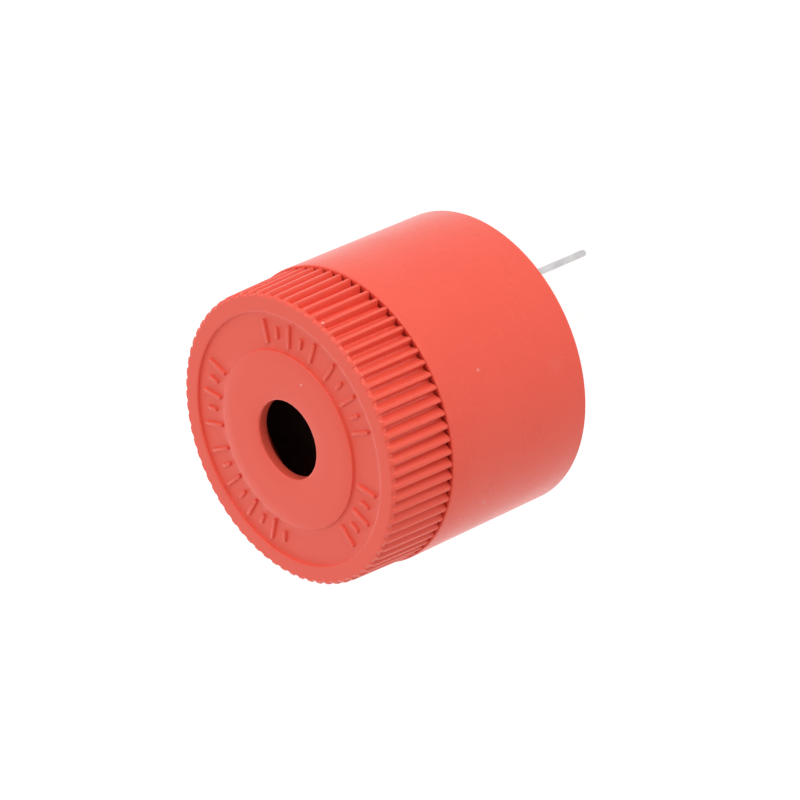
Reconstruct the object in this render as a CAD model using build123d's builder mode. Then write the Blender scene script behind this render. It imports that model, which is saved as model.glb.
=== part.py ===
"""Round electronic sounder for a circuit board: a ribbed front cap with a sound port, a plain
housing with two wire pins, and the piezo disc and drive circuit that they hold.

Millimetres. The origin is the centre of the housing's back face, +Z runs towards the sound port,
and the positive pin stands on +X.
"""

import os
from math import cos, pi, radians, sin

from build123d import *

os.makedirs("parts", exist_ok=True)

# Outer form
BODY_RADIUS = 14.2
BODY_LENGTH = 23.72
JOINT_HEIGHT = 16.78
RIM_ROUNDING = 0.15

# Ribs of the cap: the tips lean in towards the front, the roots don't. RIB_TURN is the angle of
# the first rib's middle. Back from there, in degrees, follow the edge of its land, the foot of a
# steep wall, the end of the groove's floor and the top of a gentle slope.
RIB_COUNT = 72
RIB_TURN = 0.5
GROOVE_START = 0.72
GROOVE_WALL_END = 1.02
GROOVE_FLOOR_END = 2.25
GROOVE_END = 4.28
RIB_ROOT_RADIUS = 13.30
RIB_TIP_RADIUS_REAR = 14.02
RIB_TIP_RADIUS_FRONT = 13.82
RIB_TIP_ROUNDING = 0.08
RIB_END_DROP = 0.40
RIB_END_RUN = 0.42
RIB_END_SLOPE = 0.35
# Smooth ring that closes the grooves' front ends
END_RING_FOOT = 23.02
END_RING_RADIUS = 13.62
END_RING_DROP = 0.26

# Front face
FACE_RING_INNER = 8.5
FACE_RING_OUTER = 12.0
FACE_RING_DEPTH = 0.32
FACE_RING_ROUNDING = 0.1
PORT_RADIUS = 3.75
PORT_LIP_ROUNDING = 0.18
FRONT_WALL = 1.04

# Ticks in the face ring, in groups: first angle in degrees, number of ticks
TICK_GROUPS = ((92.2, 5), (6.2, 5), (318.2, 5), (140.2, 8), (252.2, 5))
TICK_STEP = 8.6
TICK_WIDTH = 0.42
TICK_LONG = 2.3
TICK_SHORT = 1.2
TICK_MID_RADIUS = 10.2
TICK_HEIGHT = 0.24

# Inside of the cap
CAP_BORE_RADIUS = 11.7
SPIGOT_BASE = 12.9
SPIGOT_LEAD = 0.4
SPIGOT_LEAD_RUN = 0.8
CHAMBER_RADIUS = 10.0
CHAMBER_WALL = 0.9
CHAMBER_END = 17.9

# Rear housing
HOUSING_BORE_RADIUS = 12.8
BACK_WALL = 1.5
SHELF_RADIUS = 11.9
SHELF_HEIGHT = 4.6
PLUS_ARM = 1.5
PLUS_WIDTH = 0.5
PLUS_DEPTH = 0.25
PLUS_RADIUS = 6.4

# Pins: thin outside, with a thicker shank from the back face inwards
PIN_RADIUS = 0.32
PIN_SHANK_RADIUS = 0.5
PIN_SPACING = 19.05
PIN_LENGTH = 10.2
PIN_TOP = 7.2
PIN_TIP_ROUNDING = 0.2
SEAL_HOLE_RADIUS = 0.9
SEAL_BEAD_RADIUS = 1.5
SEAL_BEAD_HEIGHT = 0.5

# Piezo disc
PLATE_RADIUS = 11.0
PLATE_THICKNESS = 0.25
CERAMIC_RADIUS = 7.1
CERAMIC_THICKNESS = 0.2
ELECTRODE_RADIUS = 6.6
ELECTRODE_THICKNESS = 0.05
TONGUE_ANGLE = -30
TONGUE_HALF_WIDTH = 1.2
TONGUE_END_RADIUS = 3.4
TONGUE_GAP = 0.45
BOND_INNER_RADIUS = 10.4
BOND_FILLET = 0.5

# Circuit board and its parts
BOARD_RADIUS = 12.6
BOARD_THICKNESS = 1.6
LEAD_RADIUS = 0.25
LEAD_TAIL = 1.2
LEAD_BEND = 0.8
SOLDER_HEIGHT = 0.8
SOLDER_FOOT = 0.6
SOLDER_TIP = 0.34
PIN_SOLDER_FOOT = 1.4
PIN_SOLDER_TIP = 0.7

RESISTOR_PITCH = 10.0
RESISTOR_LENGTH = 6.0
RESISTOR_RADIUS = 1.0
RESISTOR_CAP_RADIUS = 1.2
RESISTOR_CAP_LENGTH = 1.3
RESISTOR_ROUNDING = 0.15
RESISTOR_LIFT = 1.4
RESISTOR_PLACES = ((-0.5, -2.6), (-0.5, -5.3), (-0.5, -8.0))

DIODE_PITCH = 7.0
DIODE_LENGTH = 3.9
DIODE_RADIUS = 0.9
DIODE_ROUNDING = 0.3
DIODE_LIFT = 1.1
DIODE_PLACE = (4.6, 0.4)

TRANSISTOR_RADIUS = 2.3
TRANSISTOR_FLAT = 1.4
TRANSISTOR_HEIGHT = 4.8
TRANSISTOR_LIFT = 2.0
TRANSISTOR_PITCH = 1.27
TRANSISTOR_PLACE = (5.2, 4.8)

CHOKE_FLANGE_RADIUS = 4.0
CHOKE_HUB_RADIUS = 1.6
CHOKE_HEIGHT = 8.0
CHOKE_FLANGE_HEIGHT = 1.1
CHOKE_WINDING_RADIUS = 3.5
CHOKE_LEAD_PITCH = 5.0
CHOKE_PLACE = (-3.8, 4.6)

CAPACITOR_RADIUS = 2.3
CAPACITOR_THICKNESS = 2.0
CAPACITOR_ROUNDING = 0.8
CAPACITOR_LIFT = 1.5
CAPACITOR_PITCH = 2.54
CAPACITOR_PLACE = (2.2, 9.0)

# Wires between the piezo disc and the board
WIRE_RADIUS = 0.45
WIRE_BEND = 1.4
DOT_RADIUS = 0.8
DOT_TIP = 0.45
DOT_HEIGHT = 0.5
PAD_DOT_TIP = 0.5
WIRE_DOT_DROP = 2.4
WIRE_KNEE_RISE = 4.6
FEEDBACK_DOT = (4.5, -2.6)
FEEDBACK_PAD = (8.9, -2.9)
MAIN_DOT = (0.8, -4.53)
MAIN_PAD = (8.2, -5.4)
GROUND_DOT = (5.89, -6.54)
GROUND_PAD = (6.6, -8.4)

# How far a cutting shape reaches past what it cuts, and how close an edge must be to be picked
OVERCUT = 1.0
PICK_TOLERANCE = 0.01

# Levels and places that follow from the sizes above
CHAMBER_ROOF = BODY_LENGTH - FRONT_WALL
RING_FLOOR = BODY_LENGTH - FACE_RING_DEPTH
PLATE_BOTTOM = CHAMBER_END - PLATE_THICKNESS
CERAMIC_BOTTOM = PLATE_BOTTOM - CERAMIC_THICKNESS
ELECTRODE_BOTTOM = CERAMIC_BOTTOM - ELECTRODE_THICKNESS
BOARD_TOP = SHELF_HEIGHT + BOARD_THICKNESS
LEAD_END = SHELF_HEIGHT - LEAD_TAIL
PIN_PLACES = ((PIN_SPACING / 2, 0), (-PIN_SPACING / 2, 0))
END_RING_TOP = END_RING_FOOT + END_RING_RADIUS - RIB_ROOT_RADIUS


def finish(part, name):
    """Labels a finished piece and writes it to its own file."""
    part.label = name
    export_step(part, f"parts/{name}.step")


def lead_pair(place, pitch, top):
    """Two straight leads through the board, up to the height top."""
    with BuildPart() as leads:
        with BuildSketch(Plane.XY.offset(LEAD_END)):
            with Locations(place):
                with GridLocations(pitch, 0, 2, 1):
                    Circle(LEAD_RADIUS)
        extrude(amount=top - LEAD_END)
    return leads.part


def bent_leads(place, pitch, body_length, height):
    """Two leads that leave a lying body at its ends, turn down and pass through the board."""
    x, y = place
    with BuildPart() as leads:
        for side in (-1, 1):
            with BuildLine() as route:
                FilletPolyline(
                    (x + side * body_length / 2, y, height),
                    (x + side * pitch / 2, y, height),
                    (x + side * pitch / 2, y, LEAD_END),
                    radius=LEAD_BEND,
                )
            with BuildSketch(Plane(origin=route.line @ 0, z_dir=route.line % 0)):
                Circle(LEAD_RADIUS)
            sweep(path=route.line)
    return leads.part


def lead_feet(place, pitch):
    """Where two leads pass through the board."""
    x, y = place
    return [(x - pitch / 2, y), (x + pitch / 2, y)]


def ribbed_section(tip_radius):
    """One section across the cap: a disc with a lopsided groove behind each rib."""
    wall_lean = (GROOVE_WALL_END - GROOVE_START) / (tip_radius - RIB_ROOT_RADIUS)
    slope_lean = (GROOVE_END - GROOVE_FLOOR_END) / (tip_radius - RIB_ROOT_RADIUS)
    outside = tip_radius + OVERCUT
    corners = (
        (RIB_ROOT_RADIUS, GROOVE_WALL_END),
        (outside, GROOVE_START - wall_lean * OVERCUT),
        (outside, GROOVE_END + slope_lean * OVERCUT),
        (RIB_ROOT_RADIUS, GROOVE_FLOOR_END),
    )
    Circle(tip_radius)
    with PolarLocations(0, RIB_COUNT, start_angle=RIB_TURN):
        Polygon(
            *[(r * cos(radians(back)), -r * sin(radians(back))) for r, back in corners],
            align=None,
            mode=Mode.SUBTRACT,
        )


# Front cap: the ribbed skirt first, then its rounded front, the inside, the face and the port
with BuildPart() as front_cap:
    with BuildSketch(Plane.XY.offset(JOINT_HEIGHT)) as rear_section:
        ribbed_section(RIB_TIP_RADIUS_REAR)
        fillet(rear_section.vertices().group_by(SortBy.DISTANCE)[-1], RIB_TIP_ROUNDING)
    with BuildSketch(Plane.XY.offset(BODY_LENGTH)) as front_section:
        ribbed_section(RIB_TIP_RADIUS_FRONT)
        fillet(front_section.vertices().group_by(SortBy.DISTANCE)[-1], RIB_TIP_ROUNDING)
    loft(ruled=True)
    # The envelope rounds the ends of the ribs and the rim of the face
    with BuildSketch(Plane.XZ):
        with BuildLine():
            Polyline(
                (RIB_TIP_RADIUS_FRONT - RIB_END_DROP, BODY_LENGTH),
                (0, BODY_LENGTH),
                (0, JOINT_HEIGHT),
                (BODY_RADIUS, JOINT_HEIGHT),
                (BODY_RADIUS, BODY_LENGTH - RIB_END_RUN),
                (RIB_TIP_RADIUS_FRONT, BODY_LENGTH - RIB_END_RUN),
            )
            Spline(
                (RIB_TIP_RADIUS_FRONT, BODY_LENGTH - RIB_END_RUN),
                (RIB_TIP_RADIUS_FRONT - RIB_END_DROP, BODY_LENGTH),
                tangents=((0, 1), (-1, RIB_END_SLOPE)),
            )
        make_face()
    revolve(axis=Axis.Z, mode=Mode.INTERSECT)
    # Smooth ring at the grooves' front ends
    with BuildSketch(Plane.XZ):
        with BuildLine():
            Polyline(
                (END_RING_RADIUS - END_RING_DROP, BODY_LENGTH),
                (HOUSING_BORE_RADIUS, BODY_LENGTH),
                (HOUSING_BORE_RADIUS, END_RING_FOOT - RIB_ROOT_RADIUS + HOUSING_BORE_RADIUS),
                (END_RING_RADIUS, END_RING_TOP),
            )
            Spline(
                (END_RING_RADIUS, END_RING_TOP),
                (END_RING_RADIUS - END_RING_DROP, BODY_LENGTH),
                tangents=((0, 1), (-1, RIB_END_SLOPE)),
            )
        make_face()
    revolve(axis=Axis.Z)
    # Spigot
    with BuildSketch(Plane.XZ):
        with BuildLine():
            Polyline(
                (CAP_BORE_RADIUS, SPIGOT_BASE),
                (HOUSING_BORE_RADIUS - SPIGOT_LEAD, SPIGOT_BASE),
                (HOUSING_BORE_RADIUS, SPIGOT_BASE + SPIGOT_LEAD_RUN),
                (HOUSING_BORE_RADIUS, JOINT_HEIGHT),
                (CAP_BORE_RADIUS, JOINT_HEIGHT),
                close=True,
            )
        make_face()
    revolve(axis=Axis.Z)
    # Bore, chamber tube and chamber
    with BuildSketch(Plane.XZ):
        with BuildLine():
            Polyline(
                (0, JOINT_HEIGHT),
                (0, CHAMBER_ROOF),
                (CHAMBER_RADIUS, CHAMBER_ROOF),
                (CHAMBER_RADIUS, CHAMBER_END),
                (CHAMBER_RADIUS + CHAMBER_WALL, CHAMBER_END),
                (CHAMBER_RADIUS + CHAMBER_WALL, CHAMBER_ROOF),
                (CAP_BORE_RADIUS, CHAMBER_ROOF),
                (CAP_BORE_RADIUS, JOINT_HEIGHT),
                close=True,
            )
        make_face()
    revolve(axis=Axis.Z, mode=Mode.SUBTRACT)
    # Recessed ring of the face
    with BuildSketch(Plane.XY.offset(BODY_LENGTH)):
        Circle(FACE_RING_OUTER)
        Circle(FACE_RING_INNER, mode=Mode.SUBTRACT)
    extrude(amount=-FACE_RING_DEPTH, mode=Mode.SUBTRACT)
    ring_edges = front_cap.edges().filter_by(GeomType.CIRCLE)
    ring_edges = ring_edges.filter_by_position(
        Axis.Z, BODY_LENGTH - PICK_TOLERANCE, BODY_LENGTH + PICK_TOLERANCE
    )
    ring_edges = ring_edges.filter_by(
        lambda edge: edge.radius in (FACE_RING_INNER, FACE_RING_OUTER)
    )
    fillet(ring_edges, FACE_RING_ROUNDING)
    # Ticks that stand on the ring's floor
    with BuildSketch(Plane.XY.offset(RING_FLOOR)):
        for first_angle, tick_count in TICK_GROUPS:
            for index in range(tick_count):
                length = TICK_SHORT if index % 2 else TICK_LONG
                angle = first_angle + index * TICK_STEP
                place = Vector(TICK_MID_RADIUS, 0).rotate(Axis.Z, angle)
                with Locations(Location(place, (0, 0, angle))):
                    SlotOverall(length, TICK_WIDTH)
    extrude(amount=TICK_HEIGHT)
    # Sound port with a softened lip
    with Locations((0, 0, BODY_LENGTH)):
        Hole(PORT_RADIUS, depth=FRONT_WALL)
    port_lip = front_cap.edges().filter_by(
        lambda edge: edge.geom_type == GeomType.CIRCLE
        and abs(edge.radius - PORT_RADIUS) < PICK_TOLERANCE
        and abs(edge.center().Z - BODY_LENGTH) < PICK_TOLERANCE
    )
    fillet(port_lip, PORT_LIP_ROUNDING)
finish(front_cap.part, "front_cap")

# Rear housing: a cup with a shelf for the board, two pin holes and a polarity mark
with BuildPart() as rear_housing:
    with BuildSketch(Plane.XZ):
        with BuildLine():
            Polyline(
                (0, 0),
                (BODY_RADIUS, 0),
                (BODY_RADIUS, JOINT_HEIGHT),
                (HOUSING_BORE_RADIUS, JOINT_HEIGHT),
                (HOUSING_BORE_RADIUS, SHELF_HEIGHT),
                (SHELF_RADIUS, SHELF_HEIGHT),
                (SHELF_RADIUS, BACK_WALL),
                (0, BACK_WALL),
                close=True,
            )
        make_face()
    revolve(axis=Axis.Z)
    outer_rims = rear_housing.edges().filter_by(
        lambda edge: edge.geom_type == GeomType.CIRCLE
        and abs(edge.radius - BODY_RADIUS) < PICK_TOLERANCE
    )
    fillet(outer_rims, RIM_ROUNDING)
    with Locations(*[(x, y, BACK_WALL) for x, y in PIN_PLACES]):
        Hole(SEAL_HOLE_RADIUS, depth=BACK_WALL)
    with BuildSketch(Plane.XY):
        with Locations((PLUS_RADIUS, 0)):
            Rectangle(2 * PLUS_ARM, PLUS_WIDTH)
            Rectangle(PLUS_WIDTH, 2 * PLUS_ARM)
    extrude(amount=PLUS_DEPTH, mode=Mode.SUBTRACT)
finish(rear_housing.part, "rear_housing")

# Pins, each with a rounded tip and a shoulder that is level with the back face
for pin_name, (pin_x, pin_y) in zip(("pin_positive", "pin_negative"), PIN_PLACES):
    with BuildPart() as pin:
        with BuildSketch(Plane.XY.offset(-PIN_LENGTH)):
            with Locations((pin_x, pin_y)):
                Circle(PIN_RADIUS)
        extrude(amount=PIN_LENGTH)
        fillet(pin.edges().group_by(Axis.Z)[0], PIN_TIP_ROUNDING)
        with BuildSketch(Plane.XY):
            with Locations((pin_x, pin_y)):
                Circle(PIN_SHANK_RADIUS)
        extrude(amount=PIN_TOP)
    finish(pin.part, pin_name)

# Epoxy seals round the pins, with a bead on the inside of the back wall
with BuildPart() as pin_seals:
    with BuildSketch(Plane.XY):
        with Locations(*PIN_PLACES):
            Circle(SEAL_HOLE_RADIUS)
    extrude(amount=BACK_WALL)
    with Locations(*[(x, y, BACK_WALL) for x, y in PIN_PLACES]):
        Cone(
            SEAL_BEAD_RADIUS,
            SEAL_HOLE_RADIUS,
            SEAL_BEAD_HEIGHT,
            align=(Align.CENTER, Align.CENTER, Align.MIN),
        )
    with BuildSketch(Plane.XY):
        with Locations(*PIN_PLACES):
            Circle(PIN_SHANK_RADIUS)
    extrude(amount=BACK_WALL + SEAL_BEAD_HEIGHT, mode=Mode.SUBTRACT)
finish(pin_seals.part, "pin_seals")

# Piezo disc: plate, ceramic and the two printed electrodes under it
with BuildPart() as piezo_plate:
    with BuildSketch(Plane.XY.offset(PLATE_BOTTOM)):
        Circle(PLATE_RADIUS)
    extrude(amount=PLATE_THICKNESS)
finish(piezo_plate.part, "piezo_plate")

with BuildPart() as piezo_ceramic:
    with BuildSketch(Plane.XY.offset(CERAMIC_BOTTOM)):
        Circle(CERAMIC_RADIUS)
    extrude(amount=CERAMIC_THICKNESS)
finish(piezo_ceramic.part, "piezo_ceramic")


def tongue(half_width):
    """A strip from a rounded end out over the rim of the electrode."""
    angle = radians(TONGUE_ANGLE)
    strip = ELECTRODE_RADIUS + OVERCUT - TONGUE_END_RADIUS
    reach = TONGUE_END_RADIUS + strip / 2
    end = (TONGUE_END_RADIUS * cos(angle), TONGUE_END_RADIUS * sin(angle))
    middle = (reach * cos(angle), reach * sin(angle))
    with Locations(end):
        Circle(half_width)
    with Locations(middle):
        Rectangle(strip, 2 * half_width, rotation=TONGUE_ANGLE)


with BuildSketch(Plane.XY.offset(ELECTRODE_BOTTOM)) as tongue_cut:
    tongue(TONGUE_HALF_WIDTH + TONGUE_GAP)
with BuildPart() as main_electrode:
    with BuildSketch(Plane.XY.offset(ELECTRODE_BOTTOM)):
        Circle(ELECTRODE_RADIUS)
        add(tongue_cut.sketch_local, mode=Mode.SUBTRACT)
    extrude(amount=ELECTRODE_THICKNESS)
finish(main_electrode.part, "main_electrode")

with BuildPart() as feedback_electrode:
    with BuildSketch(Plane.XY.offset(ELECTRODE_BOTTOM)):
        tongue(TONGUE_HALF_WIDTH)
        Circle(ELECTRODE_RADIUS, mode=Mode.INTERSECT)
    extrude(amount=ELECTRODE_THICKNESS)
finish(feedback_electrode.part, "feedback_electrode")

# Silicone bond between the plate's rim, the chamber tube and the bore
with BuildPart() as bond_ring:
    with BuildSketch(Plane.XZ):
        with BuildLine():
            Polyline(
                (BOND_INNER_RADIUS, PLATE_BOTTOM),
                (PLATE_RADIUS, PLATE_BOTTOM),
                (PLATE_RADIUS, CHAMBER_END),
                (CHAMBER_RADIUS + CHAMBER_WALL, CHAMBER_END),
                (CHAMBER_RADIUS + CHAMBER_WALL, CHAMBER_END + PLATE_THICKNESS),
                (CAP_BORE_RADIUS, CHAMBER_END + PLATE_THICKNESS),
                (CAP_BORE_RADIUS, PLATE_BOTTOM - PLATE_THICKNESS - BOND_FILLET),
                (BOND_INNER_RADIUS, PLATE_BOTTOM - PLATE_THICKNESS),
                close=True,
            )
        make_face()
    revolve(axis=Axis.Z)
finish(bond_ring.part, "bond_ring")


def piezo_wire(dot, pad, top):
    """A wire that hangs from its solder dot, slopes across and drops to its pad on the board."""
    with BuildPart() as wire:
        with BuildLine() as route:
            FilletPolyline(
                (*dot, top),
                (*dot, top - WIRE_DOT_DROP),
                (*pad, BOARD_TOP + WIRE_KNEE_RISE),
                (*pad, BOARD_TOP),
                radius=WIRE_BEND,
            )
        with BuildSketch(Plane(origin=route.line @ 0, z_dir=route.line % 0)):
            Circle(WIRE_RADIUS)
        sweep(path=route.line)
    return wire.part


# Each wire starts at the underside of its own solder dot
WIRE_RUNS = {
    "main_wire": (MAIN_DOT, MAIN_PAD, ELECTRODE_BOTTOM),
    "feedback_wire": (FEEDBACK_DOT, FEEDBACK_PAD, ELECTRODE_BOTTOM),
    "ground_wire": (GROUND_DOT, GROUND_PAD, PLATE_BOTTOM),
}
for wire_name, (dot, pad, contact) in WIRE_RUNS.items():
    finish(piezo_wire(dot, pad, contact - DOT_HEIGHT), wire_name)

with BuildPart() as piezo_solder:
    for dot, pad, contact in WIRE_RUNS.values():
        with Locations((*dot, contact)):
            Cone(
                DOT_TIP,
                DOT_RADIUS,
                DOT_HEIGHT,
                align=(Align.CENTER, Align.CENTER, Align.MAX),
            )
finish(piezo_solder.part, "piezo_solder")

# Resistors: a body with swollen ends, and two bent leads
RESISTOR_HEIGHT = BOARD_TOP + RESISTOR_LIFT
for number, (place_x, place_y) in enumerate(RESISTOR_PLACES, 1):
    with BuildPart() as resistor_body:
        with BuildSketch(Plane.YZ.offset(place_x - RESISTOR_LENGTH / 2)):
            with Locations((place_y, RESISTOR_HEIGHT)):
                Circle(RESISTOR_RADIUS)
        extrude(amount=RESISTOR_LENGTH)
        for end in (place_x - RESISTOR_LENGTH / 2, place_x + RESISTOR_LENGTH / 2 - RESISTOR_CAP_LENGTH):
            with BuildSketch(Plane.YZ.offset(end)):
                with Locations((place_y, RESISTOR_HEIGHT)):
                    Circle(RESISTOR_CAP_RADIUS)
            extrude(amount=RESISTOR_CAP_LENGTH)
        cap_edges = resistor_body.edges().filter_by(
            lambda edge: edge.geom_type == GeomType.CIRCLE
            and abs(edge.radius - RESISTOR_CAP_RADIUS) < PICK_TOLERANCE
        )
        fillet(cap_edges, RESISTOR_ROUNDING)
    finish(resistor_body.part, f"resistor_{number}_body")
    resistor_leads = bent_leads(
        (place_x, place_y), RESISTOR_PITCH, RESISTOR_LENGTH, RESISTOR_HEIGHT
    )
    finish(resistor_leads, f"resistor_{number}_leads")

# Diode: a glass tube with rounded ends
DIODE_HEIGHT = BOARD_TOP + DIODE_LIFT
with BuildPart() as diode_body:
    with BuildSketch(Plane.YZ.offset(DIODE_PLACE[0] - DIODE_LENGTH / 2)):
        with Locations((DIODE_PLACE[1], DIODE_HEIGHT)):
            Circle(DIODE_RADIUS)
    extrude(amount=DIODE_LENGTH)
    fillet(diode_body.edges().filter_by(GeomType.CIRCLE), DIODE_ROUNDING)
finish(diode_body.part, "diode_body")
finish(bent_leads(DIODE_PLACE, DIODE_PITCH, DIODE_LENGTH, DIODE_HEIGHT), "diode_leads")

# Transistor: a round body with one flat side on three leads
TRANSISTOR_FEET = [
    (TRANSISTOR_PLACE[0] + step * TRANSISTOR_PITCH, TRANSISTOR_PLACE[1]) for step in (-1, 0, 1)
]
with BuildPart() as transistor_body:
    with BuildSketch(Plane.XY.offset(BOARD_TOP + TRANSISTOR_LIFT)):
        with Locations(TRANSISTOR_PLACE):
            Circle(TRANSISTOR_RADIUS)
        with Locations((TRANSISTOR_PLACE[0], TRANSISTOR_PLACE[1] - TRANSISTOR_FLAT)):
            Rectangle(
                2 * TRANSISTOR_RADIUS,
                TRANSISTOR_RADIUS,
                align=(Align.CENTER, Align.MAX),
                mode=Mode.SUBTRACT,
            )
    extrude(amount=TRANSISTOR_HEIGHT)
finish(transistor_body.part, "transistor_body")

with BuildPart() as transistor_leads:
    with BuildSketch(Plane.XY.offset(LEAD_END)):
        with Locations(*TRANSISTOR_FEET):
            Circle(LEAD_RADIUS)
    extrude(amount=BOARD_TOP + TRANSISTOR_LIFT - LEAD_END)
finish(transistor_leads.part, "transistor_leads")

# Choke: a ferrite bobbin, its winding and two leads
with BuildPart() as choke_core:
    with BuildSketch(Plane.XY.offset(BOARD_TOP)):
        with Locations(CHOKE_PLACE):
            Circle(CHOKE_FLANGE_RADIUS)
    extrude(amount=CHOKE_HEIGHT)
    with BuildSketch(Plane.XY.offset(BOARD_TOP + CHOKE_FLANGE_HEIGHT)):
        with Locations(CHOKE_PLACE):
            Circle(CHOKE_FLANGE_RADIUS)
            Circle(CHOKE_HUB_RADIUS, mode=Mode.SUBTRACT)
    extrude(amount=CHOKE_HEIGHT - 2 * CHOKE_FLANGE_HEIGHT, mode=Mode.SUBTRACT)
finish(choke_core.part, "choke_core")

with BuildPart() as choke_winding:
    with BuildSketch(Plane.XY.offset(BOARD_TOP + CHOKE_FLANGE_HEIGHT)):
        with Locations(CHOKE_PLACE):
            Circle(CHOKE_WINDING_RADIUS)
            Circle(CHOKE_HUB_RADIUS, mode=Mode.SUBTRACT)
    extrude(amount=CHOKE_HEIGHT - 2 * CHOKE_FLANGE_HEIGHT)
finish(choke_winding.part, "choke_winding")
finish(lead_pair(CHOKE_PLACE, CHOKE_LEAD_PITCH, BOARD_TOP), "choke_leads")

# Capacitor: a dipped disc on two leads
CAPACITOR_BASE = BOARD_TOP + CAPACITOR_LIFT
with BuildPart() as capacitor_body:
    with BuildSketch(Plane.XZ.offset(-CAPACITOR_PLACE[1] - CAPACITOR_THICKNESS / 2)):
        with Locations((CAPACITOR_PLACE[0], CAPACITOR_BASE + CAPACITOR_RADIUS)):
            Circle(CAPACITOR_RADIUS)
    extrude(amount=CAPACITOR_THICKNESS)
    fillet(capacitor_body.edges().filter_by(GeomType.CIRCLE), CAPACITOR_ROUNDING)
finish(capacitor_body.part, "capacitor_body")

with BuildPart() as capacitor_leads:
    add(lead_pair(CAPACITOR_PLACE, CAPACITOR_PITCH, CAPACITOR_BASE + CAPACITOR_RADIUS))
    add(capacitor_body.part, mode=Mode.SUBTRACT)
finish(capacitor_leads.part, "capacitor_leads")

# Places where thin leads, wire ends and pins pass through the board
LEAD_FEET = [*TRANSISTOR_FEET]
LEAD_FEET += lead_feet(CHOKE_PLACE, CHOKE_LEAD_PITCH)
LEAD_FEET += lead_feet(DIODE_PLACE, DIODE_PITCH)
LEAD_FEET += lead_feet(CAPACITOR_PLACE, CAPACITOR_PITCH)
for resistor_place in RESISTOR_PLACES:
    LEAD_FEET += lead_feet(resistor_place, RESISTOR_PITCH)

with BuildPart() as circuit_board:
    with BuildSketch(Plane.XY.offset(SHELF_HEIGHT)):
        Circle(BOARD_RADIUS)
        with Locations(*LEAD_FEET):
            Circle(LEAD_RADIUS, mode=Mode.SUBTRACT)
        with Locations(*PIN_PLACES):
            Circle(PIN_SHANK_RADIUS, mode=Mode.SUBTRACT)
    extrude(amount=BOARD_THICKNESS)
finish(circuit_board.part, "circuit_board")

# Solder under the board at each lead and pin, and round each wire on its top
with BuildPart() as board_solder:
    with Locations(*[(x, y, SHELF_HEIGHT) for x, y in LEAD_FEET]):
        Cone(
            SOLDER_TIP,
            SOLDER_FOOT,
            SOLDER_HEIGHT,
            align=(Align.CENTER, Align.CENTER, Align.MAX),
        )
    with Locations(*[(x, y, SHELF_HEIGHT) for x, y in PIN_PLACES]):
        Cone(
            PIN_SOLDER_TIP,
            PIN_SOLDER_FOOT,
            SOLDER_HEIGHT,
            align=(Align.CENTER, Align.CENTER, Align.MAX),
        )
    with Locations(*[(*pad, BOARD_TOP) for dot, pad, contact in WIRE_RUNS.values()]):
        Cone(
            DOT_RADIUS,
            PAD_DOT_TIP,
            DOT_HEIGHT,
            align=(Align.CENTER, Align.CENTER, Align.MIN),
        )
    with BuildSketch(Plane.XY.offset(LEAD_END)):
        with Locations(*LEAD_FEET):
            Circle(LEAD_RADIUS)
        with Locations(*PIN_PLACES):
            Circle(PIN_SHANK_RADIUS)
    extrude(amount=LEAD_TAIL, mode=Mode.SUBTRACT)
    with BuildSketch(Plane.XY.offset(BOARD_TOP)):
        with Locations(*[pad for dot, pad, contact in WIRE_RUNS.values()]):
            Circle(WIRE_RADIUS)
    extrude(amount=DOT_HEIGHT, mode=Mode.SUBTRACT)
finish(board_solder.part, "board_solder")
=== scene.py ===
import math

import bmesh
import bpy
import numpy as np
from bpy.props import FloatProperty, FloatVectorProperty, IntProperty, PointerProperty
from mathutils import Euler, Matrix, Vector


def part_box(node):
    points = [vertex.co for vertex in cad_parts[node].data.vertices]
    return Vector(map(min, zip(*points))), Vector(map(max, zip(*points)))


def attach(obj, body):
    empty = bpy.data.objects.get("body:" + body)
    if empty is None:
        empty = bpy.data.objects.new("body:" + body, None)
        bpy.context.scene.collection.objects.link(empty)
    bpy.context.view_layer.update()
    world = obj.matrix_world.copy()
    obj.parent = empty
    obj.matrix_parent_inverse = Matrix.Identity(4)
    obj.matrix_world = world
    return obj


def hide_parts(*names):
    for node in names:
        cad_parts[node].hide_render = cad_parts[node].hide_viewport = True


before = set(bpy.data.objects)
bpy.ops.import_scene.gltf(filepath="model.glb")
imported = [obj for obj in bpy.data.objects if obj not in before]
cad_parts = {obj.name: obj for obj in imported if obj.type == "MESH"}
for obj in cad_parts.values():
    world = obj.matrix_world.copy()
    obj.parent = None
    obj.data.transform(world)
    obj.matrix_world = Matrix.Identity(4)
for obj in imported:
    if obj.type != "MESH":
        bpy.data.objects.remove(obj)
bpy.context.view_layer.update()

bl_info = {
    "name": "Round Sounder",
    "version": (1, 0, 0),
    "blender": (4, 5, 0),
    "location": "View3D > Sidebar > Sounder",
    "description": "Builds a red panel sounder with a ribbed cap, a plain housing and two pins",
    "category": "Add Mesh",
}

MM = 0.001
ROOT = "root"


def node_size(name):
    """Lowest and highest corner of a node of the frame, as arrays."""
    low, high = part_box(name)
    return np.array(low), np.array(high)


HOUSING_LOW, HOUSING_HIGH = node_size("rear_housing")
CAP_LOW, CAP_HIGH = node_size("front_cap")
PIN_LOW, PIN_HIGH = node_size("pin_positive")
PLATE_LOW, PLATE_HIGH = node_size("piezo_plate")
BODY_RADIUS = float(HOUSING_HIGH[0])
JOINT_HEIGHT = float(HOUSING_HIGH[2])
BODY_LENGTH = float(CAP_HIGH[2])
SPIGOT_BASE = float(CAP_LOW[2])
CHAMBER_END = float(PLATE_HIGH[2])
PIN_RADIUS = 0.32 * MM
PIN_SHANK_RADIUS = 0.5 * MM
PIN_OFFSET = float(PIN_HIGH[0] + PIN_LOW[0]) / 2


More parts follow.
